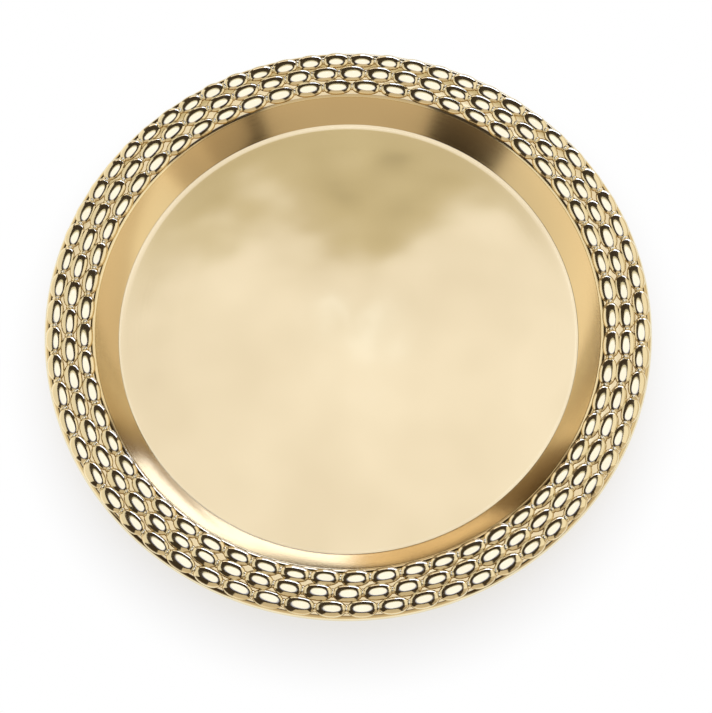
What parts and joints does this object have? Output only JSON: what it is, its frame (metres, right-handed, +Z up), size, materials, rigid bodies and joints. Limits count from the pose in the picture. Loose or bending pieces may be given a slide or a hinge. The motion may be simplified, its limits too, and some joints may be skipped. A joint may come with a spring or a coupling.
{
  "type": "round serving tray",
  "caption": "Round metal serving tray: a shallow well with a sloping wall, and a broad rim of oval beads that is curled over an edge wire. It stands on soft pads.",
  "frame": {"origin": "on the table, under the centre of the tray", "axes": "+Z up out of the well, -Y towards the viewer of the picture, +X to the viewer's right"},
  "size_m": [0.356, 0.356, 0.0255],
  "materials": {
    "satin_gold": "satin gold-toned sheet, turned and lacquered",
    "polished_gold": "mirror-polished gold-toned sheet, pressed beads",
    "steel_wire": "drawn wire",
    "pad_silicone": "clear to milky soft pad"
  },
  "bodies": {
    "root": {"tray_pan": "satin_gold", "beaded_rim": "polished_gold", "edge_wire": "steel_wire", "foot_pad_1": "pad_silicone", "foot_pad_2": "pad_silicone", "foot_pad_3": "pad_silicone", "foot_pad_4": "pad_silicone"}
  },
  "joints": []
}
